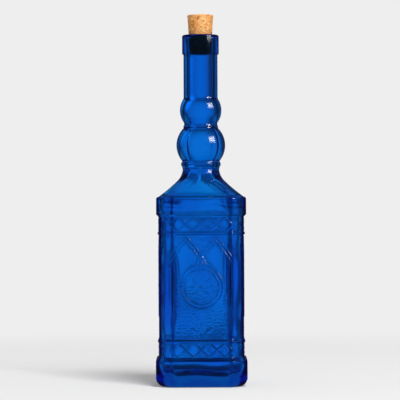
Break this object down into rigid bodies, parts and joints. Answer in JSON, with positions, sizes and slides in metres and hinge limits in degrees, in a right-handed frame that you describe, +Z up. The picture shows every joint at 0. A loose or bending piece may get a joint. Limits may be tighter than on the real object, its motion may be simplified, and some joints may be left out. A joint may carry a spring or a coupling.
{
  "type": "corked glass bottle",
  "caption": "Square moulded blue-glass bottle with planed corners, relief panels and two balls in its neck, closed by a tapered cork that pulls out.",
  "frame": {"origin": "middle of the standing face, on the bottle's axis", "axes": "+Z up along the bottle's axis, -Y out of the front panel, +X to the right seen from the front"},
  "size_m": [0.0778, 0.0778, 0.3171],
  "materials": {
    "blue_glass": "fire-polished, transparent",
    "cork": "agglomerated cork, matt"
  },
  "bodies": {
    "bottle": {"glass_bottle": "blue_glass"},
    "cork": {"cork_stopper": "cork"}
  },
  "joints": [
    {"name": "cork_pull", "type": "slide", "parent": "bottle", "child": "cork", "axis": [0, 0, 1], "range_m": [0, 0.05]}
  ]
}
